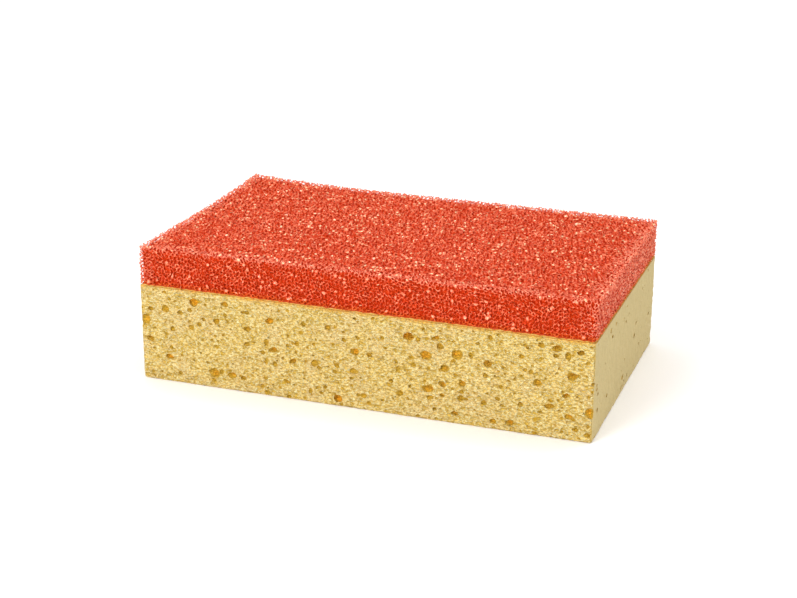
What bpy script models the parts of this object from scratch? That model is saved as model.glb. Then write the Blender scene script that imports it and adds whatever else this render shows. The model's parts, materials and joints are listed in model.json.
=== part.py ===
"""Household cleaning sponge: a block of cellulose sponge with an open-cell foam scouring pad glued to its top.

Metres, +Z up. The origin is the middle of the underside, the length runs along X and the width along Y.
Three pieces lie on each other: the cellulose block, a cured film of glue and the foam pad.
"""

import math
import random

import bmesh
import bpy
from mathutils import Matrix, Quaternion, Vector

# Driving dimensions of the sponge.
LENGTH = 0.150
WIDTH = 0.090
BLOCK_HEIGHT = 0.032
PAD_THICKNESS = 0.012
GLUE_THICKNESS = 0.0004
SEAT_GAP = 0.0003  # between two layers that lie on each other

# Cellulose block: cut edges that have gone a little soft, and the pores that its dissolved crystals left.
EDGE_SOFTNESS = 0.0009
EDGE_STEPS = 2
PORES_PER_SQUARE_METRE = {"long side": 17000, "end": 6000, "underside": 5200}
PORE_SMALLEST = 0.0009  # half of a pore's width
PORE_LARGEST = {"long side": 0.0024, "end": 0.0013, "underside": 0.0024}
PORE_SKEW = 1.5  # above 1, small pores outnumber large ones
PORE_WALL = 0.0005  # least cellulose between two pores
PORE_FLATNESS = (0.6, 1.0)  # a pore's height against its width
PORE_SINK = (-0.15, 0.3)  # how deep a pore's middle lies under the cut face, in half widths
PORE_LEAN = 0.4  # radians
CRYSTAL_JITTER = (-0.14, 0.1)  # how far a pore's corners stray, in half widths
ROUND_PORE = 0.0017  # a pore of more than this half width has twelve corners, a smaller one eight
PAIRED_SHARE = 0.4  # of the round pores, those that broke into a smaller one beside them
PAIRED_SIZE = (0.5, 0.75)  # the smaller one's half width against the larger one's
PAIRED_OVERLAP = 0.2  # how far the two reach into each other, against the sum of their half widths
TRIES_FOR_EACH_PORE = 40

# The pores that are seen best on the front: places in per cent of the half length and of the height, width and
# height in millimetres.
FRONT_PORES = (
    (-96, 44, 2.9, 2.1), (-87, 27, 3.3, 1.9), (-85, 58, 2.0, 2.4), (-82, 11, 2.0, 1.8), (-81, 76, 2.3, 1.8),
    (-76, 62, 2.3, 1.9), (-72, 66, 2.0, 1.7), (-64, 72, 2.7, 2.2), (-60, 91, 2.8, 1.9), (-60, 80, 1.8, 2.0),
    (-52, 15, 2.5, 1.7), (-50, 52, 2.3, 1.7), (-41, 57, 2.1, 2.5), (-41, 38, 1.8, 2.2), (-41, 3, 2.2, 2.1),
    (-38, 50, 3.3, 2.0), (-37, 35, 2.1, 2.1), (-32, 18, 2.8, 1.6), (-29, 41, 2.9, 1.7), (-27, 60, 2.0, 2.2),
    (-24, 81, 2.2, 1.8), (-21, 12, 1.9, 2.6), (-19, 42, 2.7, 2.7), (-13, 81, 2.3, 2.0), (-9, 43, 2.2, 1.7),
    (-1, 60, 3.3, 2.9), (3, 15, 2.3, 2.0), (11, 78, 1.9, 1.8), (15, 35, 2.0, 1.8), (18, 48, 1.8, 3.0),
    (30, 66, 4.0, 3.3), (34, 85, 3.2, 1.3), (36, 77, 2.6, 2.2), (37, 39, 2.9, 2.0), (45, 27, 2.4, 2.5),
    (49, 72, 1.9, 2.4), (55, 26, 2.2, 2.0), (62, 45, 2.0, 1.8), (66, 9, 3.0, 2.1), (74, 64, 2.0, 2.1),
    (77, 54, 2.9, 2.6), (78, 92, 2.3, 2.0), (82, 32, 3.4, 1.9), (89, 84, 2.2, 3.1), (90, 24, 2.9, 1.9),
    (91, 65, 3.8, 2.7), (93, 12, 2.4, 1.6), (98, 8, 2.4, 1.9),
)
MM = 0.001

# Foam pad: rows of open cells in brick bond, each a pit with a raised rim where its strands lie.
CELL_WIDTH = 0.0050
CELL_HEIGHT = 0.0040  # height of a row of cells on the pad's sides
CELL_DEPTH = (0.0012, 0.0026)
RIM_STRAY = 0.0011  # how far a rim's corner strays along the face
RIM_ROUGHNESS = 0.0006  # how far a rim's corner lies under the pad's outer surface
CORNER_RADIUS = 0.0010  # of the pad's upright edges
CORNER_LIFT = 0.0018  # the pad has swollen at its back left corner
LIFT_REACH = 0.060  # how far from that corner the swelling ends

# Glue: it stops a little short of the cut edge.
GLUE_SETBACK = 0.0005

SEED = 41


def clear_scene():
    for found in list(bpy.data.objects):
        bpy.data.objects.remove(found, do_unlink=True)


def collection(name, shown=True):
    made = bpy.data.collections.new(name)
    bpy.context.scene.collection.children.link(made)
    made.hide_render = not shown
    return made


def plain_material(name, colour, roughness):
    made = bpy.data.materials.new(name)
    made.use_nodes = True
    shader = made.node_tree.nodes["Principled BSDF"]
    shader.inputs["Base Color"].default_value = (*colour, 1.0)
    shader.inputs["Roughness"].default_value = roughness
    shader.inputs["Metallic"].default_value = 0.0
    return made


def add_object(name, bm, place, home, material=None):
    """An object of this bmesh, with its origin at place."""
    mesh = bpy.data.meshes.new(name)
    bm.to_mesh(mesh)
    bm.free()
    made = bpy.data.objects.new(name, mesh)
    made.location = place
    home.objects.link(made)
    if material:
        mesh.materials.append(material)
    return made


def box(length, width, height):
    """A bmesh box that stands on the XY plane, centred on Z."""
    bm = bmesh.new()
    size = Matrix.Diagonal((length, width, height, 1))
    bmesh.ops.create_cube(bm, size=1, matrix=Matrix.Translation((0, 0, height / 2)) @ size)
    return bm


# Cellulose block


def block_faces():
    """(kind, middle, two half extents, outward normal) of each face that has pores."""
    x, y, z = Vector((LENGTH / 2, 0, 0)), Vector((0, WIDTH / 2, 0)), Vector((0, 0, BLOCK_HEIGHT / 2))
    for sign in (-1, 1):
        yield "long side", z + y * sign, x, z, y.normalized() * sign
        yield "end", z + x * sign, y, z, x.normalized() * sign
    yield "underside", Vector(), x, y, Vector((0, 0, -1))


def is_clear(place, radius, pores):
    """Whether a pore here stays under the glued face and leaves a wall to the others."""
    if place.z > BLOCK_HEIGHT - radius - PORE_WALL:
        return False
    return all((place - pore[0]).length > radius + pore[1] * max(1, pore[3]) + PORE_WALL for pore in pores)


def front_pores():
    """Pores as (middle, half width, outward normal, height against width), where FRONT_PORES has them."""
    for across, up, width, height in FRONT_PORES:
        place = Vector((across / 100 * LENGTH / 2, -WIDTH / 2, up / 100 * BLOCK_HEIGHT))
        yield place, width / 2 * MM, Vector((0, -1, 0)), height / width


def scattered_pores(rng):
    """The front's pores and others of the same kind, thrown at random on all sides and kept where they are clear."""
    pores = list(front_pores())
    for kind, middle, across, up, normal in block_faces():
        there = sum(pore[2] == normal for pore in pores)
        wanted = round(4 * across.length * up.length * PORES_PER_SQUARE_METRE[kind]) - there
        enough = len(pores) + wanted
        for _ in range(wanted * TRIES_FOR_EACH_PORE):
            radius = PORE_SMALLEST + rng.random() ** PORE_SKEW * (PORE_LARGEST[kind] - PORE_SMALLEST)
            place = middle + across * rng.uniform(-1, 1) + up * rng.uniform(-1, 1)
            place -= normal * radius * rng.uniform(*PORE_SINK)
            if len(pores) < enough and is_clear(place, radius, pores):
                pores.append((place, radius, normal, rng.uniform(*PORE_FLATNESS)))
    return pores


def paired_pores(pores, rng):
    """Smaller pores, each broken into a round one beside it and clear of all the others."""
    paired = []
    for pore in pores:
        place, radius, normal, flatness = pore
        if radius < ROUND_PORE or rng.random() > PAIRED_SHARE:
            continue
        small = radius * rng.uniform(*PAIRED_SIZE)
        aside = normal.orthogonal().normalized()
        aside.rotate(Quaternion(normal, rng.uniform(0, math.tau)))
        beside = place + aside * (radius + small) * (1 - PAIRED_OVERLAP)
        others = [other for other in pores + paired if other is not pore]
        if is_clear(beside, small, others):
            paired.append((beside, small, normal, flatness))
    return paired


def crystals(name, pores, rng, home):
    """A cutter with one crystal for each pore: corners on a squashed, leaning ball, a little astray."""
    bm = bmesh.new()
    for place, radius, normal, flatness in pores:
        spin = Quaternion(normal, rng.uniform(0, math.tau)) @ normal.to_track_quat("Z", "Y")
        spin = spin.to_matrix().to_4x4()
        if radius > ROUND_PORE:
            crystal = bmesh.ops.create_icosphere(bm, subdivisions=1, radius=radius, matrix=spin)
        else:
            crystal = bmesh.ops.create_uvsphere(bm, u_segments=6, v_segments=2, radius=radius, matrix=spin)
        for vert in crystal["verts"]:
            vert.co *= 1 + rng.uniform(*CRYSTAL_JITTER)
        squash = Matrix.Scale(flatness, 4, (0, 1, 0) if abs(normal.z) > 0.5 else (0, 0, 1))
        lean = Quaternion(normal, rng.uniform(-PORE_LEAN, PORE_LEAN)).to_matrix().to_4x4()
        bmesh.ops.transform(bm, matrix=Matrix.Translation(place) @ lean @ squash, verts=crystal["verts"])
    made = add_object(name, bm, (0, 0, 0), home)
    made.hide_render = True
    made.display_type = "WIRE"
    return made


def cellulose_block(home, cutters, material):
    bm = box(LENGTH, WIDTH, BLOCK_HEIGHT)
    glued_face = max(bm.faces, key=lambda face: face.calc_center_median().z)
    cut_edges = [edge for edge in bm.edges if glued_face not in edge.link_faces]
    bmesh.ops.bevel(bm, geom=cut_edges, offset=EDGE_SOFTNESS, segments=EDGE_STEPS, profile=0.5, affect="EDGES")
    made = add_object("cellulose_block", bm, (0, 0, 0), home, material)
    rng = random.Random(SEED)
    pores = scattered_pores(rng)
    paired = paired_pores(pores, rng)
    for cutter in (crystals("pores", pores, rng, cutters), crystals("paired_pores", paired, rng, cutters)):
        cut = made.modifiers.new(cutter.name, "BOOLEAN")
        cut.operation = "DIFFERENCE"
        cut.solver = "EXACT"
        cut.object = cutter
    return made


# Glue film


def glue_film(home, material):
    bm = box(LENGTH - 2 * GLUE_SETBACK, WIDTH - 2 * GLUE_SETBACK, GLUE_THICKNESS)
    return add_object("glue_film", bm, (0, 0, BLOCK_HEIGHT + SEAT_GAP), home, material)


# Foam pad


def with_parts(faces):
    """The faces with their edges and corners, as bisect_plane takes them."""
    edges = {edge for face in faces for edge in face.edges}
    corners = {vert for face in faces for vert in face.verts}
    return [*faces, *edges, *corners]


def cut_apart(bm, faces, along, places):
    """Cuts the faces across the direction along at each of the places, and returns all the faces."""
    for place in places:
        cut = bmesh.ops.bisect_plane(bm, geom=with_parts(faces), plane_co=along * place, plane_no=along, dist=1e-7)
        faces = [part for part in cut["geom"] if isinstance(part, bmesh.types.BMFace)]
    return faces


def reach(face, along):
    """How far the face reaches each way along a direction."""
    places = [vert.co.dot(along) for vert in face.verts]
    return min(places), max(places)


def into_cells(bm, face, across, along, row_height):
    """Cuts a face into rows, and each row into cells that are staggered against the next row's."""
    low, high = reach(face, across)
    left, right = reach(face, along)
    rows = max(1, round((high - low) / row_height))
    columns = max(1, round((right - left) / CELL_WIDTH))
    pitch = (right - left) / columns
    strips = cut_apart(bm, [face], across, [low + (high - low) * row / rows for row in range(1, rows)])
    strips.sort(key=lambda strip: strip.calc_center_median().dot(across))
    cells = []
    for number, strip in enumerate(strips):
        first = 0.5 if number % 2 else 1
        cells += cut_apart(bm, [strip], along, [left + pitch * (first + cell) for cell in range(columns - 1)])
    return cells


def pad_faces(bm):
    """(face, direction across its rows, direction along them, row height) of each face that shows cells."""
    x, y, z = Vector((1, 0, 0)), Vector((0, 1, 0)), Vector((0, 0, 1))
    for face in list(bm.faces):
        if face.normal.z > 0.5:
            yield face, y, x, CELL_WIDTH
        elif abs(face.normal.y) > 0.5:
            yield face, z, x, CELL_HEIGHT
        elif abs(face.normal.x) > 0.5:
            yield face, z, y, CELL_HEIGHT


def make_ragged(corners, rng):
    """Moves the rims' corners at random: along their face, and off the pad's outer surface inwards."""
    half = (LENGTH / 2, WIDTH / 2, PAD_THICKNESS / 2)
    for vert in sorted(corners, key=lambda corner: corner.co[:]):
        stands_on_glue = vert.co.z < RIM_STRAY
        for axis, middle in enumerate((0, 0, PAD_THICKNESS / 2)):
            side = vert.co[axis] - middle
            if axis == 2 and stands_on_glue:
                continue
            if half[axis] - abs(side) < RIM_STRAY:
                vert.co[axis] -= math.copysign(RIM_ROUGHNESS * rng.random(), side)
            else:
                vert.co[axis] += RIM_STRAY * rng.uniform(-1, 1)


def round_corners(corners):
    """Draws the corners in to the pad's rounded upright edges."""
    for vert in corners:
        past = Vector((LENGTH / 2 - CORNER_RADIUS, WIDTH / 2 - CORNER_RADIUS))
        out = Vector((abs(vert.co.x), abs(vert.co.y))) - past
        if min(out) > 0 and out.length > CORNER_RADIUS:
            rim = past + out.normalized() * CORNER_RADIUS
            vert.co.x = math.copysign(rim.x, vert.co.x)
            vert.co.y = math.copysign(rim.y, vert.co.y)


def swell(corners):
    """Lifts the pad towards its back left corner, the more the higher up."""
    swollen = Vector((-LENGTH / 2, WIDTH / 2))
    for vert in corners:
        near = max(0, 1 - (vert.co.xy - swollen).length / LIFT_REACH)
        vert.co.z += CORNER_LIFT * near * near * vert.co.z / PAD_THICKNESS


def sink_cells(bm, cells, rng):
    """Gives each cell a pit: a new corner in its middle, pushed inwards."""
    for cell in cells:
        inwards = -cell.normal
        pit = bmesh.ops.poke(bm, faces=[cell])["verts"][0]
        pit.co += inwards * rng.uniform(*CELL_DEPTH)


def scouring_pad(home, material):
    rng = random.Random(SEED)
    bm = box(LENGTH, WIDTH, PAD_THICKNESS)
    cells = []
    for face, across, along, row_height in pad_faces(bm):
        cells += into_cells(bm, face, across, along, row_height)
    corners = {vert for cell in cells for vert in cell.verts}
    make_ragged(corners, rng)
    round_corners(corners)
    swell(corners)
    bm.normal_update()
    sink_cells(bm, cells, rng)
    underside = BLOCK_HEIGHT + SEAT_GAP + GLUE_THICKNESS + SEAT_GAP
    return add_object("scouring_pad", bm, (0, 0, underside), home, material)


def main():
    clear_scene()
    sponge = collection("cellulose_sponge")
    cutters = collection("cutters", shown=False)
    cellulose_block(sponge, cutters, plain_material("cellulose", (0.84, 0.66, 0.27), 0.9))
    glue_film(sponge, plain_material("glue", (0.72, 0.22, 0.03), 0.4))
    scouring_pad(sponge, plain_material("foam", (0.72, 0.08, 0.035), 0.5))


main()
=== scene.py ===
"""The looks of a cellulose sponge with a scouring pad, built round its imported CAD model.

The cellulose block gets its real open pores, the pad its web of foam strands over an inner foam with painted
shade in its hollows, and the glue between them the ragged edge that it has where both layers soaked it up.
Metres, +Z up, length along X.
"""

import json
import math
import random
import string

import bmesh
import bpy
import numpy as np
from bpy.props import FloatProperty, FloatVectorProperty, PointerProperty
from mathutils import Euler, Matrix, Quaternion, Vector

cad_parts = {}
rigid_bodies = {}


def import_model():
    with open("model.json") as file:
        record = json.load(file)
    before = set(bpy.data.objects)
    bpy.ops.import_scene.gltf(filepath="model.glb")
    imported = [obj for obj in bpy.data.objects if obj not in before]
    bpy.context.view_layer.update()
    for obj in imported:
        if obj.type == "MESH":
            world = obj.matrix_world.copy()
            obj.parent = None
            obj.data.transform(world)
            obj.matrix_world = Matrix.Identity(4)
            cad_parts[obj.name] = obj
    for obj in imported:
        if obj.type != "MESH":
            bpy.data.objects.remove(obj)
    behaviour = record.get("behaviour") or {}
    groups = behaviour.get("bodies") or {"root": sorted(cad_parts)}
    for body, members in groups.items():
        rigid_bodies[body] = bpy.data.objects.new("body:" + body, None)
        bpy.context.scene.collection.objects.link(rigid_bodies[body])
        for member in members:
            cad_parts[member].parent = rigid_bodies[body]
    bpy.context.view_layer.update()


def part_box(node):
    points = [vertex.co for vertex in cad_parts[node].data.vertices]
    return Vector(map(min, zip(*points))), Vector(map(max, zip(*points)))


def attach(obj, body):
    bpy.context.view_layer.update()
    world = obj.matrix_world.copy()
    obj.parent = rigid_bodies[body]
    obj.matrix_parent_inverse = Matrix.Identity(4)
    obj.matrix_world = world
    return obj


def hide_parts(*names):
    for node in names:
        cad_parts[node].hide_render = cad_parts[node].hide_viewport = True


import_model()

bl_info = {
    "name": "Cellulose sponge",
    "version": (1, 0, 0),
    "blender": (4, 5, 0),
    "location": "View3D > Sidebar > Sponge",
    "description": "Models a cellulose sponge with a glued pad of open-cell foam",
    "category": "Add Mesh",
}

MM = 0.001  # the materials' patterns are drawn in millimetres
TINY = 0.01 * MM  # less than any length that is modelled
SEED = 41
BLOCK_LOW, BLOCK_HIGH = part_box("cellulose_block")
PAD_LOW, PAD_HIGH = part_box("scouring_pad")
LENGTH = BLOCK_HIGH.x - BLOCK_LOW.x
WIDTH = BLOCK_HIGH.y - BLOCK_LOW.y
BLOCK_HEIGHT = BLOCK_HIGH.z

# The pad's rounded upright edges and the swelling at its back left corner, as in the CAD model.
CORNER_RADIUS = 0.0010
CORNER_LIFT = 0.0018
LIFT_REACH = 0.060
LOST_LIFT = 0.0003  # what the CAD model's ragged rims take off the swollen corner
PAD_TOP = PAD_HIGH.z - CORNER_LIFT + LOST_LIFT  # away from the swelling

# The large pores, as in the CAD model, where each value is explained.
PORES_PER_SQUARE_METRE = {"long side": 17000, "end": 6000, "underside": 5200}
PORE_SMALLEST = 0.0009
PORE_LARGEST = {"long side": 0.0024, "end": 0.0013, "underside": 0.0024}
PORE_SKEW = 1.5
PORE_WALL = 0.0005
PORE_FLATNESS = (0.6, 1.0)
PORE_SINK = (-0.15, 0.3)
PORE_LEAN = 0.4
ROUND_PORE = 0.0017
PAIRED_SHARE = 0.4
PAIRED_SIZE = (0.5, 0.75)
PAIRED_OVERLAP = 0.2
TRIES_FOR_EACH_PORE = 40

# The pores that are seen best on the front: places in per cent of the half length and of the height, then
# width and height in millimetres.
FRONT_PORES = (
    (-96, 44, 2.9, 2.1), (-87, 27, 3.3, 1.9), (-85, 58, 2.0, 2.4), (-82, 11, 2.0, 1.8), (-81, 76, 2.3, 1.8),
    (-76, 62, 2.3, 1.9), (-72, 66, 2.0, 1.7), (-64, 72, 2.7, 2.2), (-60, 91, 2.8, 1.9), (-60, 80, 1.8, 2.0),
    (-52, 15, 2.5, 1.7), (-50, 52, 2.3, 1.7), (-41, 57, 2.1, 2.5), (-41, 38, 1.8, 2.2), (-41, 3, 2.2, 2.1),
    (-38, 50, 3.3, 2.0), (-37, 35, 2.1, 2.1), (-32, 18, 2.8, 1.6), (-29, 41, 2.9, 1.7), (-27, 60, 2.0, 2.2),
    (-24, 81, 2.2, 1.8), (-21, 12, 1.9, 2.6), (-19, 42, 2.7, 2.7), (-13, 81, 2.3, 2.0), (-9, 43, 2.2, 1.7),
    (-1, 60, 3.3, 2.9), (3, 15, 2.3, 2.0), (11, 78, 1.9, 1.8), (15, 35, 2.0, 1.8), (18, 48, 1.8, 3.0),
    (30, 66, 4.0, 3.3), (34, 85, 3.2, 1.3), (36, 77, 2.6, 2.2), (37, 39, 2.9, 2.0), (45, 27, 2.4, 2.5),
    (49, 72, 1.9, 2.4), (55, 26, 2.2, 2.0), (62, 45, 2.0, 1.8), (66, 9, 3.0, 2.1), (74, 64, 2.0, 2.1),
    (77, 54, 2.9, 2.6), (78, 92, 2.3, 2.0), (82, 32, 3.4, 1.9), (89, 84, 2.2, 3.1), (90, 24, 2.9, 1.9),
    (91, 65, 3.8, 2.7), (93, 12, 2.4, 1.6), (98, 8, 2.4, 1.9),
)

# The pores that are too small for the CAD model, and how all pores are cut.
MEDIUM_PORES = (0.65 * MM, 1.2 * MM)  # their half widths
SMALL_PORES = (0.35 * MM, 0.65 * MM)
SMALL_PORE_SHARE = {"long side": 1.0, "end": 0.06, "underside": 0.35}
SMALL_PORE_RISE = (-0.1, 0.35)  # how far a pore's middle lies outside the cut face, in half widths
SMALL_PORE_WALL = 0.03 * MM
PORE_DEPTH = 0.8  # against its half width
LARGE_JITTER = (-0.2, 0.1)  # how far a pore's corners stray, in half widths
SMALL_JITTER = (-0.35, 0)
FINER_ABOVE = (0.65 * MM, 1.0 * MM)  # the half widths at which a pore gets more corners

# Bevels are the rounding of cut edges, clouds the size of the bumps on a face, grids the pitch of its points.
BLOCK_BEVEL = 0.0008
BLOCK_CLOUDS = 0.0015

# The glue reaches from a little below the seam to a little above it, and stops short of the cut faces.
GLUE_INSET = 0.0006
GLUE_THICKNESS = 0.0006
GLUE_GRID = 0.002
GLUE_CLOUDS = 0.0012
GLUE_UNEVENNESS = 0.0008

CORE_BEVEL = 0.0006
CORE_GRID = 0.0016
CORE_CLOUDS = 0.0009
CORE_UNEVENNESS = 0.0006

# How the foam's cells lie against the pad, and the waves that bend their rows.
LATTICE_TURN = (0.67, 0.33, 0.66)
WAVES = 6
WAVE_LENGTH = (9, 16)  # in millimetres
WAVE_HEIGHT = 0.4 * MM
CUBES_PAST = 1.2  # how far outside the pad cubes of the lattice are made, in cells
NODES_PAST = 0.6  # how far outside the web nodes are kept for its strands to run to, in cells

# The web of strands.
NODE_SIZE = (0.55, 1.6)  # against the strand setting
LEAST_STUB = 0.12  # of a strand that is cut by the pad's surface
LONGEST_ROOT = 2.5  # times its strand
ROOT_DEPTH = 0.4 * MM  # how far a root goes into the inner foam
SMALL_GROUP = 300  # nodes, a group of no more than these is rooted
LOWEST_TIP = BLOCK_HEIGHT + 0.1 * MM
NODE_TRIANGLES = 13  # that one node and its strands come to
PIECE_TRIANGLES = 170000

# The films.
FILM_DEPTH = 0.2 * MM  # how deep a window's middle may lie
FILM_BULGE = 0.03 * MM
FILM_REACH = 0.4  # the least that is left of a film towards a corner outside the pad
TOP_LAYER = 0.5 * MM
SIDE_FILMS = 1.1  # films below the top layer against those in it

# Where the lights stand, and their power against the key setting.
LIGHTS = {"key": ((-0.25, -0.75, 0.55), 1.0), "top": ((0.25, 0.25, 0.95), 0.4)}
LIGHT_SIZE = 0.35
LIGHT_AIM = (0, 0, 0.02)


def colour_property(name, description, default):
    return FloatVectorProperty(
        name=name,
        description=description,
        subtype="COLOR",
        default=default,
        min=0.0,
        max=1.0,
    )


class CelluloseSettings(bpy.types.PropertyGroup):
    """The block's pores, cut faces and colours"""

    medium_pores: FloatProperty(
        name="Medium pores",
        description="Pores of one to two millimetres tried on a square millimetre of a long side",
        default=0.16,
        min=0.0,
        max=1.0,
    )
    small_pores: FloatProperty(
        name="Small pores",
        description="Pores below a millimetre tried on a square millimetre of a long side",
        default=0.2,
        min=0.0,
        max=1.0,
    )
    grid: FloatProperty(
        name="Grid",
        description="Spacing of the points that make the cut faces uneven",
        default=0.0011,
        min=0.0008,
        max=0.01,
        unit="LENGTH",
    )
    unevenness: FloatProperty(
        name="Unevenness",
        description="Height of the bumps of the cut faces",
        default=0.0005,
        min=0.0,
        max=0.002,
        unit="LENGTH",
    )
    # Cream is a painted highlight on the tops of the bumps.
    cream: colour_property("Cream", "The driest walls", (0.87, 0.645, 0.23))
    # Rims are a painted highlight along the walls' ridges.
    rim: colour_property("Rims", "The thin rims of the walls", (1.0, 0.90, 0.48))
    straw: colour_property("Straw", "The cut face", (0.69, 0.45, 0.10))
    # Olive is painted shade in the small pores and the hollows between them.
    olive: colour_property("Olive", "Small pores", (0.66, 0.39, 0.025))
    # Amber is painted bounce light on the floors of the large pores.
    amber: colour_property("Amber", "The floors of large pores", (1.0, 0.48, 0.03))
    rosy: colour_property("Rosy", "Rosy patches", (0.74, 0.52, 0.26))
    soaked: colour_property("Soaked", "The rim that soaked up glue", (0.88, 0.46, 0.07))
    khaki: colour_property("Khaki", "The smooth sawn ends", (0.59, 0.47, 0.225))


class FoamSettings(bpy.types.PropertyGroup):
    """The pad's web of strands, its inner foam, its films and their colours"""

    cell: FloatProperty(
        name="Cell",
        description="Edge of the cube that holds two foam cells",
        default=0.00148,
        min=0.001,
        max=0.006,
        unit="LENGTH",
    )
    strand: FloatProperty(
        name="Strand",
        description="How far a strand's edges lie from its middle",
        default=0.00015,
        min=0.00004,
        max=0.0006,
        unit="LENGTH",
    )
    wander: FloatProperty(
        name="Wander",
        description="How far a cell strays from its place, in cells",
        default=0.3,
        min=0.0,
        max=0.3,
    )
    stray: FloatProperty(
        name="Stray",
        description="How far a node strays from the middle of its four cells",
        default=0.00007,
        min=0.0,
        max=0.0002,
        unit="LENGTH",
    )
    web_depth: FloatProperty(
        name="Web depth",
        description="How deep the open web reaches under the pad's surface",
        default=0.00073,
        min=0.0005,
        max=0.006,
        unit="LENGTH",
    )
    core_depth: FloatProperty(
        name="Core depth",
        description="How deep the inner foam starts under the pad's surface",
        default=0.0009,
        min=0.0005,
        max=0.005,
        unit="LENGTH",
    )
    sag: FloatProperty(
        name="Sag",
        description="How far the foam has sunk into the glue",
        default=0.0005,
        min=0.0,
        max=0.0006,
        unit="LENGTH",
    )
    film_share: FloatProperty(
        name="Films",
        description="Share of the cut windows that kept their film",
        default=0.3,
        min=0.0,
        max=1.0,
    )
    coral: colour_property("Coral", "The strands", (0.77, 0.070, 0.010))
    # Pale coral is a painted highlight, laid on the strands in random blobs.
    pale: colour_property("Pale coral", "Strands at the surface", (1.0, 0.31, 0.16))
    # Deep red is partly a tone that varies at random and partly painted shade on the deeper strands and in
    # the inner foam's hollows.
    deep_red: colour_property("Deep red", "The inner foam", (0.69, 0.038, 0.001))
    seam: colour_property("Seam", "Strands that the glue has reached", (0.74, 0.12, 0.006))
    # Pink is painted light, coming through the thin fringe at the pad's rims and sawn ends.
    pink: colour_property("Pink", "The sawn ends", (1.0, 0.45, 0.30))
    # The films' cream is a painted glint.
    film: colour_property("Film", "The films", (1.0, 0.74, 0.42))


class GlueSettings(bpy.types.PropertyGroup):
    """The glue's reach and colours"""

    overlap: FloatProperty(
        name="Overlap",
        description="How far the glue has crept down the block and up the foam",
        default=0.0001,
        min=0.0,
        max=0.002,
        unit="LENGTH",
    )
    yellow: colour_property("Yellow", "The glue by the block", (0.75, 0.50, 0.14))
    orange: colour_property("Orange", "The glue between", (0.60, 0.20, 0.010))
    red: colour_property("Red", "The glue by the foam", (0.50, 0.05, 0.003))


class StageSettings(bpy.types.PropertyGroup):
    """The camera, the lights and the floor"""

    lens: FloatProperty(name="Lens", description="Focal length in mm", default=70.7, min=20, max=300)
    azimuth: FloatProperty(
        name="Azimuth",
        description="How far the camera stands round to the right",
        default=math.radians(19.57),
        subtype="ANGLE",
    )
    elevation: FloatProperty(
        name="Elevation",
        description="Angle of the camera above the horizon",
        default=math.radians(19.43),
        subtype="ANGLE",
    )
    roll: FloatProperty(
        name="Roll",
        description="Tilt of the camera about its axis",
        default=math.radians(0.4),
        subtype="ANGLE",
    )
    distance: FloatProperty(
        name="Distance",
        description="Camera distance in lengths of the sponge",
        default=3.54,
        min=1,
    )
    aside: FloatProperty(name="Aside", description="Camera shift to the right, in lengths", default=-0.0155)
    above: FloatProperty(name="Above", description="Camera shift upwards, in lengths", default=0.1368)
    key_power: FloatProperty(
        name="Key",
        description="Power of the key light",
        default=2.9,
        min=0,
        unit="POWER",
    )
    fill: FloatProperty(name="Fill", description="Brightness of the surroundings", default=0.85, min=0)
    exposure: FloatProperty(name="Exposure", description="In stops", default=0.25)
    floor_colour: colour_property("Floor", "The pale floor", (1.0, 1.0, 1.0))


# Shader nodes


class Shade:
    """A value in a material that takes part in Python arithmetic."""

    def __init__(self, finish, socket):
        self.finish = finish
        self.socket = socket

    def math(self, operation, first, second=0.0):
        return self.finish.add("Math", {"operation": operation}, {0: first, 1: second})

    def __add__(self, other):
        return self.math("ADD", self, other)

    def __radd__(self, other):
        return self.math("ADD", other, self)

    def __sub__(self, other):
        return self.math("SUBTRACT", self, other)

    def __rsub__(self, other):
        return self.math("SUBTRACT", other, self)

    def __mul__(self, other):
        return self.math("MULTIPLY", self, other)

    def __rmul__(self, other):
        return self.math("MULTIPLY", other, self)

    def __abs__(self):
        return self.math("ABSOLUTE", self)

    def least(self, other):
        return self.math("MINIMUM", self, other)

    def most(self, other):
        return self.math("MAXIMUM", self, other)

    def step(self, start, end):
        """0 before start and 1 past end, with a smooth rise between them, or a fall if end is the smaller."""
        inputs = {"Value": self, "From Min": min(start, end), "From Max": max(start, end)}
        if end < start:
            inputs.update({"To Min": 1.0, "To Max": 0.0})
        return self.finish.add("MapRange", {"interpolation_type": "SMOOTHSTEP"}, inputs)


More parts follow.
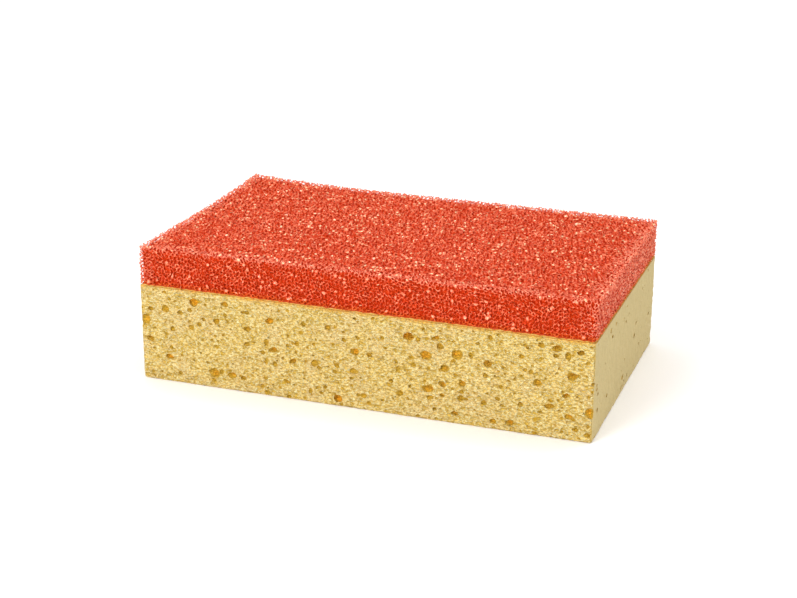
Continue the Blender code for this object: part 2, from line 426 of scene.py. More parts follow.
class Finish:
    """A material whose nodes are made by one method."""

    def __init__(self, name, **constants):
        self.material = bpy.data.materials.new(name)
        self.material.use_nodes = True
        self.tree = self.material.node_tree
        self.shader = self.tree.nodes["Principled BSDF"]
        for socket, value in constants.items():
            self.shader.inputs[socket.replace("_", " ")].default_value = value

    def add(self, kind, settings=None, inputs=None, output=0):
        """A node with these settings and inputs, as a shade of one output or a list of several."""
        node = self.tree.nodes.new("ShaderNode" + kind)
        for name, value in (settings or {}).items():
            setattr(node, name, value)
        for name, value in (inputs or {}).items():
            if isinstance(value, Shade):
                self.tree.links.new(value.socket, node.inputs[name])
            else:
                node.inputs[name].default_value = value
        if isinstance(output, tuple):
            return [Shade(self, node.outputs[name]) for name in output]
        return Shade(self, node.outputs[output])

    def mix(self, share, first, second):
        """A colour between two, which are colours or shades."""
        colours = [c if isinstance(c, Shade) else (*c, 1.0) for c in (first, second)]
        pick = {"data_type": "RGBA"}
        return self.add("Mix", pick, {0: share, 6: colours[0], 7: colours[1]}, output=2)

    def vector(self, operation, first, second):
        return self.add("VectorMath", {"operation": operation}, {0: first, 1: second})

    def place(self, stretch=(1, 1, 1)):
        """The place on the object in millimetres, stretched along each axis."""
        here = self.add("TexCoord", output="Object")
        return self.vector("MULTIPLY", here, [share / MM for share in stretch])

    def axes(self, vector):
        return self.add("SeparateXYZ", inputs={0: vector}, output=("X", "Y", "Z"))

    def noise(self, place, size, detail=2.0):
        """Clouds of about this size in millimetres, from 0 to 1."""
        return self.add("TexNoise", inputs={"Vector": place, "Scale": 1 / size, "Detail": detail})

    def from_edge(self, place, size):
        """Distance to the edge of random cells of this size in millimetres."""
        feature = {"feature": "DISTANCE_TO_EDGE"}
        return self.add("TexVoronoi", feature, {"Vector": place, "Scale": 1 / size}, output="Distance")

    def bowls(self, place, size):
        """Round hollows in random cells of this size in millimetres, each of its own depth from 0 to 1."""
        inputs = {"Vector": place, "Scale": 1 / size}
        distance, tint = self.add("TexVoronoi", inputs=inputs, output=("Distance", "Color"))
        return distance.step(0.6, 0.1) * self.axes(tint)[0].step(0.15, 0.85)

    def bump(self, height, distance):
        """Raises the surface by height times distance in metres."""
        self.feed(Normal=self.add("Bump", inputs={"Height": height, "Distance": distance}))

    def feed(self, **links):
        """Links shades to sockets of the shader, and gives the material."""
        for socket, shade in links.items():
            self.tree.links.new(shade.socket, self.shader.inputs[socket.replace("_", " ")])
        return self.material


def cellulose_finish(look):
    """Straw yellow with painted cream highlights on bumps and rims, olive painted shade in pores, amber
    painted bounce light on the floors of large ones, and khaki sawn ends.
    """
    finish = Finish("cellulose", Roughness=0.95, Specular_IOR_Level=0.2)
    place = finish.place()
    x, y, z = finish.axes(place)
    from_end = LENGTH / 2 / MM - abs(x)
    depth = from_end.least(WIDTH / 2 / MM - abs(y)).least(z)
    open_side = from_end.step(0.2, 0.5)

    # Bowls between the pores, in flat cells that a noise has pushed about.
    flattened = finish.place((0.75, 0.75, 1.2))
    drift = finish.add("TexNoise", inputs={"Vector": flattened, "Scale": 0.8, "Detail": 3.0}, output="Color")
    warped = finish.vector("ADD", flattened, finish.vector("SUBTRACT", drift, (0.5, 0.5, 0.5)))
    bowls = (finish.bowls(warped, 1.9) + finish.bowls(warped, 1.1) * 0.8).least(1.0)
    walls = finish.from_edge(warped, 0.9).step(0.14, 0.02)
    crumb = finish.noise(warped, 0.75, 4.0)
    streaks = finish.noise(finish.place((1, 2.2, 0.25)), 0.9, 3.0)

    # Painted highlight: cream where the crumb's bumps rise.
    colour = finish.mix(crumb.step(0.44, 0.56), look.straw, look.cream)
    rosy = finish.noise(place, 7.0).step(0.4, 0.7) * 0.35
    colour = finish.mix(rosy, colour, look.rosy)
    # Painted shade in the bowls that the bump sinks.
    colour = finish.mix(bowls.step(0.25, 0.6) * 0.65, colour, look.olive)
    # Painted highlight along the walls' ridges.
    colour = finish.mix(walls * crumb.step(0.42, 0.56) * 0.85, colour, look.rim)
    khaki = finish.mix(streaks.step(0.3, 0.7), look.khaki, tuple(channel * 0.9 for channel in look.khaki))
    colour = finish.mix(open_side, khaki, colour)
    # Painted shade in the pores, on surfaces that lie deeper than the cut faces.
    colour = finish.mix(depth.step(0.1, 0.35) * 0.9, colour, look.olive)
    # Patches that vary both the glue's real stain and the painted bounce light in the deep pores.
    stains_and_bounce_light = finish.noise(place, 5.0).step(0.4, 0.6) * 0.7 + 0.3
    colour = finish.mix(depth.step(0.7, 1.2) * stains_and_bounce_light, colour, look.amber)
    soaked = (z + crumb * 2.0).step(BLOCK_HEIGHT / MM - 0.2, BLOCK_HEIGHT / MM + 1.0)
    colour = finish.mix(soaked * open_side * stains_and_bounce_light * 0.8, colour, look.soaked)
    height = (crumb + walls * 0.4 - bowls) * (open_side * 0.85 + 0.15)
    finish.bump(height, 0.7 * MM)
    return finish.feed(Base_Color=colour)


def strand_finish(look):
    """Coral strands with painted pale highlights and deeper red blobs, pink painted light at the rims,
    painted shade deep in the web, darker towards the bottom, and orange by the glue.
    """
    finish = Finish("foam_strands", Roughness=0.4, Specular_IOR_Level=0.25)
    place = finish.place()
    x, y, z = finish.axes(place)
    deep = finish.add("Attribute", {"attribute_name": "depth"}, output="Fac")
    from_end = LENGTH / 2 / MM - abs(x)
    from_side = WIDTH / 2 / MM - abs(y)
    from_top = PAD_TOP / MM - z
    from_rim = from_end.least(from_side).most(from_end.most(from_side).least(from_top * 4.0))
    low = z.step(PAD_LOW.z / MM + 5, PAD_LOW.z / MM)

    # Painted highlight: blobs of pale coral.
    clouds = finish.noise(place, 0.8, 2.0).step(0.45, 0.6)
    colour = finish.mix(clouds, look.coral, look.pale)
    colour = finish.mix(finish.noise(place, 2.3, 1.0).step(0.5, 0.65) * 0.4, colour, look.deep_red)
    # Less painted highlight near the long sides.
    colour = finish.mix(from_side.step(1.2, 0.2) * 0.15, colour, look.coral)
    # Painted shade: strands deeper under the surface turn deep red, and all are darker towards the bottom.
    colour = finish.mix((deep.step(0.1, 0.9) * 0.8 + low * 0.35).least(1.0), colour, look.deep_red)
    # Painted light: pink where light comes through the thin fringe at the rims and sawn ends.
    thin = (from_rim.step(7.0, 0.5) * 0.5).most(from_end.step(0.9, 0.1) * 0.5)
    colour = finish.mix(thin * deep.step(1.2, 0.2) * (clouds * 0.8 + 0.4), colour, look.pink)
    colour = finish.mix(z.step(PAD_LOW.z / MM + 1.6, PAD_LOW.z / MM) * 0.8, colour, look.seam)
    return finish.feed(Base_Color=colour)


def film_finish(look):
    """Glossy films painted with glints, many of them cream on the pad's top and few of them on its sides."""
    finish = Finish("foam_films", Roughness=0.2, Specular_IOR_Level=0.8)
    place = finish.place()
    # Painted glints: the films are painted cream, mostly on the pad's top.
    on_top = finish.axes(place)[2].step(PAD_TOP / MM - 1.2, PAD_TOP / MM - 0.4)
    clouds = finish.noise(place, 1.3)
    cream = (clouds.step(0.42, 0.54) * on_top).most(clouds.step(0.64, 0.7))
    return finish.feed(Base_Color=finish.mix(cream, look.pale, look.film))


def core_finish(look):
    """The inner foam: deep red, with a painted web of coral strands whose cells are painted shade, seen as
    dark hollows.
    """
    finish = Finish("foam_core", Roughness=0.8, Specular_IOR_Level=0.1)
    place = finish.place()
    web = finish.from_edge(place, 0.9).step(0.3, 0.02)
    patches = finish.noise(place, 0.9).step(0.42, 0.58)
    # Painted shade: the cells between the painted web stay deep red as dark hollows.
    colour = finish.mix(web * (patches * 0.8 + 0.2), look.deep_red, look.coral)
    finish.bump(web, 0.5 * MM)
    return finish.feed(Base_Color=colour)


def glue_finish(look):
    """Cured glue that has taken the block's colour below and the foam's above, with orange between."""
    finish = Finish("glue", Roughness=0.6, Specular_IOR_Level=0.3)
    place = finish.place()
    clots = finish.noise(place, 1.6, 3.0)
    high = finish.axes(place)[2] + clots * 0.9 - (BLOCK_HEIGHT / MM + 0.75)
    colour = finish.mix(high.step(-0.15, 0.0), look.yellow, look.orange)
    finish.bump(clots, 0.3 * MM)
    return finish.feed(Base_Color=finish.mix(high.step(0.0, 0.12), colour, look.red))


def floor_finish(look):
    finish = Finish("floor", Roughness=0.9)
    soft = finish.noise(finish.place(), 400.0)
    worn = tuple(channel * 0.99 for channel in look.floor_colour)
    return finish.feed(Base_Color=finish.mix(soft, look.floor_colour, worn))


# Modelling


def start_piece(name, low, high):
    """A cube primitive with its corners at low and high. It is the only selected object, and in edit mode."""
    bpy.ops.object.select_all(action="DESELECT")
    size = [b - a for a, b in zip(low, high)]
    middle = [(a + b) / 2 for a, b in zip(low, high)]
    bpy.ops.mesh.primitive_cube_add(size=1, location=middle, scale=size)
    bpy.ops.object.transform_apply(location=True, rotation=True, scale=True)
    piece = bpy.context.object
    piece.name = name
    piece.data.name = name
    bpy.ops.object.mode_set(mode="EDIT")
    return piece


def pick_edges(piece, wanted):
    """Selects the edges for which wanted(edge) holds, in edit mode."""
    bpy.ops.mesh.select_mode(type="EDGE")
    bpy.ops.mesh.select_all(action="DESELECT")
    bm = bmesh.from_edit_mesh(piece.data)
    for edge in bm.edges:
        edge.select_set(wanted(edge))
    bm.select_flush_mode()
    bmesh.update_edit_mesh(piece.data)


def grid_cuts(piece, pitch):
    """Divides the edges along each axis in turn, so that the faces become a grid of this pitch.

    Starts in edit mode and ends in object mode.
    """
    bpy.ops.object.mode_set(mode="OBJECT")  # brings the dimensions up to date
    size = piece.dimensions.copy()
    bpy.ops.object.mode_set(mode="EDIT")
    for axis in range(3):
        def along(edge, axis=axis):
            span = edge.verts[1].co - edge.verts[0].co
            return abs(span[axis]) > 0.9 * span.length and span.length > 1.5 * pitch
        pick_edges(piece, along)
        bpy.ops.mesh.subdivide(number_cuts=max(1, round(size[axis] / pitch) - 1))
    bpy.ops.object.mode_set(mode="OBJECT")


def bevel_edges(piece, width, wanted):
    pick_edges(piece, wanted)
    bpy.ops.mesh.bevel(offset=width, segments=3, profile=0.5, affect="EDGES")


def apply_all(piece):
    bpy.ops.object.select_all(action="DESELECT")
    piece.select_set(True)
    bpy.context.view_layer.objects.active = piece
    for modifier in list(piece.modifiers):
        bpy.ops.object.modifier_apply(modifier=modifier.name)


def drop_chips(piece, belongs):
    """Deletes the loose chips, which hang together with no edge for which belongs(edge) holds."""
    bpy.ops.object.mode_set(mode="EDIT")
    pick_edges(piece, belongs)
    bpy.ops.mesh.select_linked()
    bpy.ops.mesh.select_all(action="INVERT")
    bpy.ops.mesh.delete(type="VERT")
    bpy.ops.object.mode_set(mode="OBJECT")


def roughen(piece, size, depth, free_above=None):
    """Moves the surface in and out by clouds of this size, except above a height."""
    group = piece.vertex_groups.new(name="rough")
    rough = [v.index for v in piece.data.vertices if free_above is None or v.co.z < free_above]
    group.add(rough, 1.0, "REPLACE")
    clouds = bpy.data.textures.new(piece.name + "_clouds", "CLOUDS")
    clouds.noise_scale = size
    clouds.noise_depth = 2
    push = piece.modifiers.new("rough", "DISPLACE")
    push.texture = clouds
    push.texture_coords = "LOCAL"
    push.vertex_group = group.name
    push.strength = depth
    push.mid_level = 0.5


def mesh_object(name, corners, faces):
    mesh = bpy.data.meshes.new(name)
    mesh.from_pydata(corners.tolist(), [], faces)
    made = bpy.data.objects.new(name, mesh)
    bpy.context.collection.objects.link(made)
    return made


def finished(piece, material, slot, *nodes):
    """The piece wears its material, rides on the sponge and stands for these CAD nodes."""
    piece.data.materials.clear()
    piece.data.materials.append(material)
    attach(piece, "root")
    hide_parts(*nodes)


# Cellulose block


def block_faces():
    """(kind, middle, two half extents, outward normal) of each face that has pores."""
    x, y, z = Vector((LENGTH / 2, 0, 0)), Vector((0, WIDTH / 2, 0)), Vector((0, 0, BLOCK_HEIGHT / 2))
    for sign in (-1, 1):
        yield "long side", z + y * sign, x, z, y.normalized() * sign
        yield "end", z + x * sign, y, z, x.normalized() * sign
    yield "underside", Vector(), x, y, Vector((0, 0, -1))


class Neighbours:
    """Pores in a grid of boxes, so that those near a place are found at once."""

    def __init__(self, pitch):
        self.pitch = pitch
        self.boxes = {}

    def key(self, place):
        return tuple(math.floor(c / self.pitch) for c in place)

    def add(self, pore):
        self.boxes.setdefault(self.key(pore[0]), []).append(pore)

    def near(self, place):
        i, j, k = self.key(place)
        for a in (-1, 0, 1):
            for b in (-1, 0, 1):
                for c in (-1, 0, 1):
                    yield from self.boxes.get((i + a, j + b, k + c), ())


def is_clear(place, radius, pores, wall=PORE_WALL):
    """Whether a pore here stays under the glued face and leaves a wall to the others."""
    if place.z > BLOCK_HEIGHT - radius - wall:
        return False
    return all((place - pore[0]).length > radius + pore[1] * max(1, pore[3]) + wall for pore in pores)


def front_pores():
    """Pores as (middle, half width, outward normal, height against width), where FRONT_PORES has them."""
    for across, up, width, height in FRONT_PORES:
        place = Vector((across / 100 * LENGTH / 2, -WIDTH / 2, up / 100 * BLOCK_HEIGHT))
        yield place, width / 2 * MM, Vector((0, -1, 0)), height / width


def scattered_pores(rng):
    """The large pores of the CAD model: the front's and others thrown at random on all sides."""
    pores = list(front_pores())
    for kind, middle, across, up, normal in block_faces():
        there = sum(pore[2] == normal for pore in pores)
        wanted = round(4 * across.length * up.length * PORES_PER_SQUARE_METRE[kind]) - there
        enough = len(pores) + wanted
        for _ in range(wanted * TRIES_FOR_EACH_PORE):
            radius = PORE_SMALLEST + rng.random() ** PORE_SKEW * (PORE_LARGEST[kind] - PORE_SMALLEST)
            place = middle + across * rng.uniform(-1, 1) + up * rng.uniform(-1, 1)
            place -= normal * radius * rng.uniform(*PORE_SINK)
            if len(pores) < enough and is_clear(place, radius, pores):
                pores.append((place, radius, normal, rng.uniform(*PORE_FLATNESS)))
    return pores


def paired_pores(pores, rng):
    """Smaller pores, each broken into a round one beside it and clear of all the others."""
    paired = []
    for pore in pores:
        place, radius, normal, flatness = pore
        if radius < ROUND_PORE or rng.random() > PAIRED_SHARE:
            continue
        small = radius * rng.uniform(*PAIRED_SIZE)
        aside = normal.orthogonal().normalized()
        aside.rotate(Quaternion(normal, rng.uniform(0, math.tau)))
        beside = place + aside * (radius + small) * (1 - PAIRED_OVERLAP)
        others = [other for other in pores + paired if other is not pore]
        if is_clear(beside, small, others):
            paired.append((beside, small, normal, flatness))
    return paired


def small_pores(sizes, density, rng):
    """Pores too small for the CAD model, between these two half widths, as many as find room.

    The density is how many are tried on a square millimetre of a long side.
    """
    around = Neighbours(2.2 * sizes[1])
    for kind, middle, across, up, normal in block_faces():
        area = 4 * across.length * up.length / MM**2
        for _ in range(round(area * density * SMALL_PORE_SHARE[kind])):
            radius = sizes[0] + (sizes[1] - sizes[0]) * rng.random() ** 2
            place = middle + across * rng.uniform(-1, 1) + up * rng.uniform(-1, 1)
            place += normal * radius * rng.uniform(*SMALL_PORE_RISE)
            if is_clear(place, radius, around.near(place), SMALL_PORE_WALL):
                around.add((place, radius, normal, rng.uniform(*PORE_FLATNESS)))
    return [pore for box in around.boxes.values() for pore in box]


def crystal_shape(steps):
    """Corners and triangles of a crystal of half width 1: a double pyramid for 0 steps, else a ball."""
    bm = bmesh.new()
    if steps:
        bmesh.ops.create_icosphere(bm, subdivisions=steps, radius=1)
    else:
        bmesh.ops.create_uvsphere(bm, u_segments=5, v_segments=2, radius=1)
    bmesh.ops.triangulate(bm, faces=bm.faces)
    corners = np.array([vert.co for vert in bm.verts])
    triangles = np.array([[vert.index for vert in face.verts] for face in bm.faces])
    bm.free()
    return corners, triangles


def crystals(name, pores, rng, jitter):
    """A cutter with one crystal for each pore: a squashed, leaning ball with its corners a little astray."""
    shapes = [crystal_shape(steps) for steps in range(3)]
    corners, triangles, count = [], [], 0
    for place, radius, normal, flatness in pores:
        ball, faces = shapes[sum(radius > size for size in FINER_ABOVE)]
        spin = (Quaternion(normal, rng.uniform(0, math.tau)) @ normal.to_track_quat("Z", "Y")).to_matrix()
        squash = Matrix.Scale(flatness, 3, (0, 1, 0) if abs(normal.z) > 0.5 else (0, 0, 1))
        squash @= Matrix.Scale(PORE_DEPTH, 3, normal)
        lean = Quaternion(normal, rng.uniform(-PORE_LEAN, PORE_LEAN)).to_matrix()
        knocked = np.array([radius * (1 + rng.uniform(*jitter)) for _ in ball])
        corners.append(ball * knocked[:, None] @ np.array(lean @ squash @ spin).T + np.array(place))
        triangles.append(faces + count)
        count += len(ball)
    return mesh_object(name, np.concatenate(corners), np.concatenate(triangles).tolist())


class SPONGE_OT_cellulose_block(bpy.types.Operator):
    """Model the cellulose block with all its open pores"""

    bl_idname = "sponge.cellulose_block"
    bl_label = "Cellulose block"

    def execute(self, context):
        look = context.scene.sponge_cellulose
        block = start_piece("cellulose_sponge", BLOCK_LOW, BLOCK_HIGH)
        top = BLOCK_HIGH.z - TINY
        bevel_edges(block, BLOCK_BEVEL, lambda edge: min(v.co.z for v in edge.verts) < top)
        grid_cuts(block, look.grid)
        roughen(block, BLOCK_CLOUDS, look.unevenness, top)
        apply_all(block)
        for vert in block.data.vertices:
            vert.co.z = max(vert.co.z, 0)
        rng = random.Random(SEED)
        large = scattered_pores(rng)
        paired = paired_pores(large, rng)
        medium = small_pores(MEDIUM_PORES, look.medium_pores, rng)
        small = small_pores(SMALL_PORES, look.small_pores, rng)
        cuts = {
            "large": (large, LARGE_JITTER),
            "paired": (paired, LARGE_JITTER),
            "medium": (medium, SMALL_JITTER),
            "small": (small, SMALL_JITTER),
        }
        for name, (pores, jitter) in cuts.items():
            cutter = crystals(name + "_pores", pores, rng, jitter)
            cut = block.modifiers.new(name, "BOOLEAN")
            cut.operation = "DIFFERENCE"
            cut.solver = "MANIFOLD"
            cut.object = cutter
            apply_all(block)
            bpy.data.objects.remove(cutter)
        drop_chips(block, lambda edge: min(v.co.z for v in edge.verts) > top)
        finished(block, cellulose_finish(look), "cellulose", "cellulose_block")
        return {"FINISHED"}


# Glue


class SPONGE_OT_glue_bead(bpy.types.Operator):
    """Model the cured glue between the layers, with the edge that both have soaked up"""

    bl_idname = "sponge.glue_bead"
    bl_label = "Glue"

    def execute(self, context):
        look = context.scene.sponge_glue
        foot = BLOCK_HIGH.z - look.overlap
        head = BLOCK_HIGH.z + GLUE_THICKNESS + look.overlap
        low = (BLOCK_LOW.x + GLUE_INSET, BLOCK_LOW.y + GLUE_INSET, foot)
        high = (BLOCK_HIGH.x - GLUE_INSET, BLOCK_HIGH.y - GLUE_INSET, head)
        glue = start_piece("glue_bead", low, high)
        grid_cuts(glue, GLUE_GRID)
        roughen(glue, GLUE_CLOUDS, GLUE_UNEVENNESS)
        apply_all(glue)
        finished(glue, glue_finish(look), "glue", "glue_film")
        return {"FINISHED"}


# Foam pad


def lifted(places):
    """Places in the straight pad, moved to where they are in the pad with its swollen corner."""
    swollen = np.array([-LENGTH / 2, WIDTH / 2])
    near = np.clip(1 - np.linalg.norm(places[..., :2] - swollen, axis=-1) / LIFT_REACH, 0, None)
    share = (places[..., 2] - PAD_LOW.z) / (PAD_TOP - PAD_LOW.z)
    moved = places.copy()
    moved[..., 2] += CORNER_LIFT * near**2 * share
    return moved


def depth_in_pad(places):
    """How deep places lie under the straight pad's sides and top, negative outside."""
    half = np.array([LENGTH / 2, WIDTH / 2])
    out = np.abs(places[..., :2]) - (half - CORNER_RADIUS)
    past = np.linalg.norm(np.maximum(out, 0), axis=-1) + np.minimum(out.max(-1), 0)
    return np.minimum(CORNER_RADIUS - past, PAD_TOP - places[..., 2])


def foam_web(look, rng):
    """The cells and nodes of the foam near the pad's surface.

    The cells' middles are the corners and the middles of cubes, each a little astray, in a lattice that is
    turned against the pad so that its cut faces show no rows. A node is where four cells meet, the corners of
    two cubes first and then the middles of two. Gives the cells' middles, the four cells round each node and
    the nodes' places.
    """
    turn = np.array(Euler(LATTICE_TURN).to_matrix())
    half = np.array([LENGTH, WIDTH, PAD_TOP - PAD_LOW.z]) / 2
    middle = np.array([0, 0, (PAD_TOP + PAD_LOW.z) / 2])
    counts = 2 * np.ceil(np.abs(turn) @ half / look.cell).astype(int) + 6
    corner = np.stack(np.meshgrid(*[np.arange(n) - n // 2 for n in counts], indexing="ij"), -1)
    cubes = np.stack([corner, corner + 0.5])
    seeds = (cubes + rng.uniform(-look.wander, look.wander, cubes.shape)) * look.cell @ turn + middle
    for _ in range(WAVES):
        wave = rng.normal(size=3)
        wave *= math.tau / (rng.uniform(*WAVE_LENGTH) * MM * np.linalg.norm(wave))
        sideways = np.cross(wave, rng.normal(size=3))
        sideways *= WAVE_HEIGHT / np.linalg.norm(sideways)
        seeds += sideways * np.sin(seeds @ wave + rng.uniform(0, math.tau))[..., None]

    # The cubes in and round the pad, without the lattice's outermost ones, which lack neighbours.
    away = np.abs(seeds[0] - middle) - half
    for axis in range(3):
        np.moveaxis(away, axis, 0)[[0, -1]] = 1
    cube = np.argwhere((away < CUBES_PAST * look.cell).all(-1))

    def cell(kind, *shift):
        return np.ravel_multi_index((kind, *(cube + shift).T), (2, *counts))

    nodes = []
    for axis in range(3):
        ahead = np.roll((1, 0, 0), axis)
        ring = [cell(1, *np.roll((0, a, b), axis)) for a, b in ((0, 0), (-1, 0), (-1, -1), (0, -1))]
        for here, there in zip(ring, ring[1:] + ring[:1]):
            nodes.append(np.stack([cell(0, 0, 0, 0), cell(0, *ahead), here, there], 1))
    nodes = np.concatenate(nodes)
    seeds = seeds.reshape(-1, 3)
    place = seeds[nodes].mean(1)
    place += rng.normal(0, look.stray, place.shape)
    depth = depth_in_pad(place)
    past = NODES_PAST * look.cell
    near = (depth > -past) & (depth < look.web_depth + past) & (place[:, 2] > PAD_LOW.z - look.sag)
    return seeds, nodes[near], place[near]


def six_sided_windows(seeds, cells, place):
    """The windows between a cube's corner cell and a middle cell.

    Gives the six nodes round each, in order, and the step from its first cell to its second.
    """
    pairs = cells[:, [[0, 2], [0, 3], [1, 2], [1, 3]]].reshape(-1, 2)
    owner = np.repeat(np.arange(len(cells)), 4)
    pairs, window, sides = np.unique(pairs, axis=0, return_inverse=True, return_counts=True)
    order = np.argsort(window.ravel(), kind="stable")
    first = (np.cumsum(sides) - sides)[sides == 6]
    rings = owner[order[first[:, None] + np.arange(6)]]
    beside = seeds[pairs[sides == 6]]
    facing = beside[:, 1] - beside[:, 0]
    spokes = place[rings] - place[rings].mean(1, keepdims=True)
    across = np.cross(facing, spokes[:, 0])
    ahead = np.cross(across, facing) / np.linalg.norm(facing, axis=-1, keepdims=True)
    angle = np.arctan2((spokes * across[:, None]).sum(-1), (spokes * ahead[:, None]).sum(-1))
    return np.take_along_axis(rings, np.argsort(angle, axis=1), 1), facing


class SPONGE_OT_foam_core(bpy.types.Operator):
    """Model the inner foam, which is seen through the web of strands"""

    bl_idname = "sponge.foam_core"
    bl_label = "Inner foam"

    def execute(self, context):
        look = context.scene.sponge_foam
        inset = look.core_depth
        low = (-LENGTH / 2 + inset, -WIDTH / 2 + inset, PAD_LOW.z - look.sag)
        high = (LENGTH / 2 - inset, WIDTH / 2 - inset, PAD_TOP - inset)
        core = start_piece("foam_core", low, high)
        bevel_edges(core, CORE_BEVEL, lambda edge: max(v.co.z for v in edge.verts) > PAD_LOW.z + inset)
        grid_cuts(core, CORE_GRID)
        roughen(core, CORE_CLOUDS, CORE_UNEVENNESS)
        apply_all(core)
        places = np.array([v.co for v in core.data.vertices])
        core.data.vertices.foreach_set("co", lifted(places).ravel())
        finished(core, core_finish(look), "foam", "scouring_pad")
        return {"FINISHED"}


class SPONGE_OT_foam_strands(bpy.types.Operator):
    """Model the web of strands on the pad's top and sides, and the films that some of its windows kept"""

    bl_idname = "sponge.foam_strands"
    bl_label = "Foam strands"

    def execute(self, context):
        look = context.scene.sponge_foam
        rng = np.random.default_rng(SEED)
        seeds, cells, place = foam_web(look, rng)
        depth = depth_in_pad(place)
        toward = seeds[cells] - place[:, None]
        toward /= np.linalg.norm(toward, axis=-1, keepdims=True)
        corners = place[:, None] + toward * look.strand * rng.uniform(*NODE_SIZE, (len(place), 1, 1))
        web = Web(cells, place, depth, corners, look.web_depth, look.core_depth + ROOT_DEPTH)
        material = strand_finish(look)
        for number in range(web.parts):
            corners, faces = web.part_mesh(number)
            piece = mesh_object("foam_strands_" + string.ascii_lowercase[number], lifted(corners), faces)
            deep = piece.data.attributes.new("depth", "FLOAT", "POINT")
            deep.data.foreach_set("value", depth_in_pad(corners) / MM)
            finished(piece, material, "foam", "scouring_pad")

        windows, facing = six_sided_windows(seeds, cells, place)
        rings = place[windows]
        middle = rings.mean(1, keepdims=True)
        deep = depth_in_pad(middle[:, 0])
        in_top_layer = PAD_TOP - middle[:, 0, 2] < TOP_LAYER
        share = look.film_share * np.where(in_top_layer, 1, SIDE_FILMS)
        kept = (deep > 0) & (deep < FILM_DEPTH) & (rng.random(len(windows)) < share)

        # Corners that lie outside the pad are drawn in to where it was cut.
        reach = np.clip(deep[:, None] / (deep[:, None] - depth[windows]), FILM_REACH, 1)
        reach = np.where(depth[windows] < 0, reach, 1)
        rims = middle + (rings - middle) * reach[..., None]
        films = mesh_object("foam_films", *film_mesh(rims[kept], facing[kept]))
        finished(films, film_finish(look), "foam", "scouring_pad")
        return {"FINISHED"}


def film_mesh(rings, facing):
    """A thin closed lens over each window, whose six corners turn left as seen against facing."""
    sides = rings.shape[1]
    middle = rings.mean(1)
    bulge = facing / np.linalg.norm(facing, axis=-1, keepdims=True) * FILM_BULGE
    corners = np.concatenate([rings, (middle + bulge)[:, None], (middle - bulge)[:, None]], 1)
    upper = [(a, (a + 1) % sides, sides) for a in range(sides)]
    lower = [(b, a, sides + 1) for a, b, _ in upper]
    faces = np.array(upper + lower)[None] + (sides + 2) * np.arange(len(rings))[:, None, None]
    return lifted(corners.reshape(-1, 3)), faces.reshape(-1, 3).tolist()


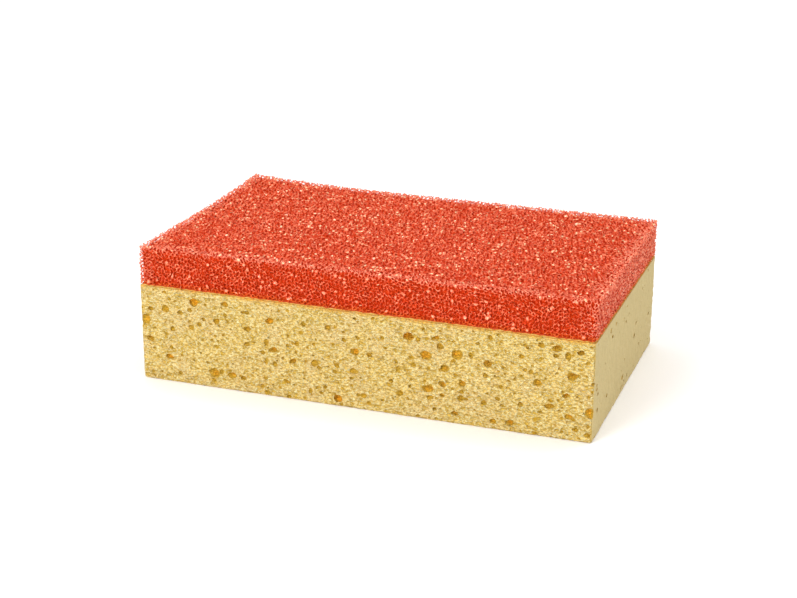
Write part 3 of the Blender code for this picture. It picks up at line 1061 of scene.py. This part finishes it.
class Web:
    """The foam's strands, each a prism between the small tetrahedra at two nodes.

    A node's four corners point at its four cells. The three corners round a strand that leaves it point at
    the three cells that the strand divides, and these three name the strand at its other node too.
    """

    def __init__(self, cells, place, depth, corners, web_depth, root_depth):
        self.corners = corners
        self.depth = depth
        self.root_depth = root_depth
        self.inside = (depth > 0) & (depth < web_depth)
        self.owner = np.repeat(np.arange(len(cells)), 4)
        others = np.array([[1, 2, 3], [0, 2, 3], [0, 1, 3], [0, 1, 2]])
        self.local = np.tile(others, (len(cells), 1))
        named = cells[self.owner[:, None], self.local]
        order = np.argsort(named, axis=1)
        named = np.take_along_axis(named, order, 1)
        self.local = np.take_along_axis(self.local, order, 1)
        _, strand, ends = np.unique(named, axis=0, return_inverse=True, return_counts=True)
        rank = np.argsort(strand.ravel(), kind="stable")
        last = np.cumsum(ends) - 1
        first, second = rank[last[ends == 2] - 1], rank[last[ends == 2]]
        self.twin = np.full(len(named), -1)
        self.twin[first], self.twin[second] = second, first
        self.part_groups(self.owner[first], self.owner[second], web_depth)

        # The corners of each end, in the order that turns left as seen from along the strand.
        triple = corners[self.owner[:, None], self.local]
        normal = np.cross(triple[:, 1] - triple[:, 0], triple[:, 2] - triple[:, 0])
        self.left = ((triple.mean(1) - place[self.owner]) * normal).sum(-1) > 0

        # Parts of equal size, in order along the pad.
        self.parts = math.ceil(self.inside.sum() * NODE_TRIANGLES / PIECE_TRIANGLES)
        along = np.argsort(np.argsort(place[:, 0]))
        self.part = along * self.parts // len(place)

    def part_groups(self, first, second, web_depth):
        """Marks the nodes of small groups as loose, and leaves out groups that no strand leaves inwards."""
        between = self.inside[first] & self.inside[second]
        near, far = first[between], second[between]
        group, before = np.arange(len(self.inside)), None
        while not np.array_equal(group, before):
            before = group.copy()
            low = np.minimum(group[near], group[far])
            np.minimum.at(group, near, low)
            np.minimum.at(group, far, low)
            group = group[group]
        rooted = np.zeros(len(group), bool)
        for near, far in ((first, second), (second, first)):
            rooted[group[near[self.inside[near] & (self.depth[far] > web_depth)]]] = True
        self.loose = np.bincount(group)[group] <= SMALL_GROUP
        self.inside &= rooted[group]

    def part_mesh(self, number):
        """Corners and faces of one part.

        A strand that leaves it ends at its other node, or where the pad was cut. One that goes deeper than
        the web is left out, unless it roots a small group, and then it goes on into the inner foam.
        """
        ends = np.flatnonzero((self.part[self.owner] == number) & self.inside[self.owner])
        used, here = np.unique(self.owner[ends], return_inverse=True)
        index = np.full(len(self.part), -1)
        index[used] = np.arange(len(used))
        turned = np.where(self.left[ends][:, None], [0, 1, 2], [2, 1, 0])
        own = 4 * here[:, None] + np.take_along_axis(self.local[ends], turned, 1)
        mate = self.twin[ends]
        far = np.where(mate >= 0, self.owner[mate], -1)
        joined = (far >= 0) & self.inside[far]
        same = joined & (self.part[far] == number)
        whole = np.flatnonzero(same & (ends < mate))
        facing = np.take_along_axis(self.local[mate[whole]], turned[whole], 1)
        theirs = 4 * index[far[whole]][:, None] + facing

        deeper = (self.depth[far] > 0) & ~self.inside[far] & ~self.loose[self.owner[ends]]
        stub = np.flatnonzero((far >= 0) & ~same & ~(joined & (ends > mate)) & ~deeper)
        start = self.corners.reshape(-1, 3)[4 * self.owner[ends[stub]][:, None] + own[stub] % 4]
        end = self.corners[far[stub][:, None], np.take_along_axis(self.local[mate[stub]], turned[stub], 1)]
        near_depth = self.depth[self.owner[ends[stub]]]
        far_depth = self.depth[far[stub]]
        reach = (np.where(far_depth > 0, self.root_depth, 0) - near_depth) / (far_depth - near_depth)
        share = np.where(far_depth > 0, np.clip(reach, 1, LONGEST_ROOT), np.clip(reach, LEAST_STUB, 1))
        share[self.inside[far[stub]]] = 1
        tip = start + (end - start) * share[:, None, None]
        tip[..., 2] = tip[..., 2].clip(LOWEST_TIP)
        tips = 4 * len(used) + np.arange(3 * len(stub)).reshape(-1, 3)

        low = np.concatenate([own[whole], own[stub]])
        high = np.concatenate([theirs, tips])
        sides = [np.stack([low[:, a], low[:, a - 2], high[:, a - 2], high[:, a]], 1) for a in range(3)]
        capped = ~same
        capped[stub] = False
        corners = np.concatenate([self.corners[used].reshape(-1, 3), tip.reshape(-1, 3)])
        return corners, np.concatenate(sides).tolist() + np.concatenate([tips, own[capped]]).tolist()


# Stage


class SPONGE_OT_stage(bpy.types.Operator):
    """Set up the floor, the soft lights and the camera"""

    bl_idname = "sponge.stage"
    bl_label = "Stage"

    def execute(self, context):
        look = context.scene.sponge_stage
        bpy.ops.object.select_all(action="DESELECT")
        bpy.ops.mesh.primitive_plane_add(size=8, location=(0, 0, 0))
        floor = context.object
        floor.name = "floor"
        floor.data.materials.append(floor_finish(look))

        world = bpy.data.worlds.new("studio")
        world.use_nodes = True
        world.node_tree.nodes["Background"].inputs["Color"].default_value = (1, 1, 1, 1)
        world.node_tree.nodes["Background"].inputs["Strength"].default_value = look.fill
        context.scene.world = world

        for name, (place, share) in LIGHTS.items():
            self.light(name, place, look.key_power * share)
        self.camera(context, look)
        context.scene.view_settings.view_transform = "Standard"
        context.scene.view_settings.exposure = look.exposure
        return {"FINISHED"}

    def light(self, name, place, power):
        bpy.ops.object.light_add(type="AREA", location=place)
        light = bpy.context.object
        light.name = name
        light.data.shape = "DISK"
        light.data.size = LIGHT_SIZE
        light.data.energy = power
        aim = Vector(LIGHT_AIM) - Vector(place)
        light.rotation_euler = aim.to_track_quat("-Z", "Y").to_euler()

    def camera(self, context, look):
        """Stands at the photograph's angle, distance and roll."""
        az, el, roll = look.azimuth, look.elevation, look.roll
        back = Vector((math.sin(az) * math.cos(el), -math.cos(az) * math.cos(el), math.sin(el)))
        right = Vector((math.cos(az), math.sin(az), 0))
        up = back.cross(right)
        eye = (back * look.distance + right * look.aside + up * look.above) * LENGTH
        bpy.ops.object.camera_add(location=eye)
        camera = context.object
        camera.name = "camera"
        camera.data.lens = look.lens
        camera.data.sensor_width = 36
        image_right = right * math.cos(roll) + up * math.sin(roll)
        image_up = up * math.cos(roll) - right * math.sin(roll)
        camera.rotation_euler = Matrix((image_right, image_up, back)).transposed().to_euler()
        camera.data.clip_start = 0.01
        context.scene.camera = camera


class SPONGE_PT_panel(bpy.types.Panel):
    """The sponge's pieces and their settings"""

    bl_idname = "SPONGE_PT_panel"
    bl_label = "Cellulose sponge"
    bl_space_type = "VIEW_3D"
    bl_region_type = "UI"
    bl_category = "Sponge"

    def draw(self, context):
        for name, operators in STEPS.items():
            box = self.layout.box()
            settings = getattr(context.scene, name)
            for key in settings.__annotations__:
                box.prop(settings, key)
            for operator in operators:
                box.operator(operator.bl_idname)


STEPS = {
    "sponge_stage": (SPONGE_OT_stage,),
    "sponge_cellulose": (SPONGE_OT_cellulose_block,),
    "sponge_glue": (SPONGE_OT_glue_bead,),
    "sponge_foam": (SPONGE_OT_foam_core, SPONGE_OT_foam_strands),
}
SETTINGS = {
    "sponge_stage": StageSettings,
    "sponge_cellulose": CelluloseSettings,
    "sponge_glue": GlueSettings,
    "sponge_foam": FoamSettings,
}
OPERATORS = [operator for operators in STEPS.values() for operator in operators]


def register():
    for made in (*SETTINGS.values(), *OPERATORS, SPONGE_PT_panel):
        bpy.utils.register_class(made)
    for name, group in SETTINGS.items():
        setattr(bpy.types.Scene, name, PointerProperty(type=group))


def unregister():
    for name in SETTINGS:
        delattr(bpy.types.Scene, name)
    for made in (SPONGE_PT_panel, *reversed(OPERATORS), *SETTINGS.values()):
        bpy.utils.unregister_class(made)


def main():
    register()
    for operator in OPERATORS:
        group, name = operator.bl_idname.split(".")
        getattr(getattr(bpy.ops, group), name)()


if __name__ == "__main__":
    main()
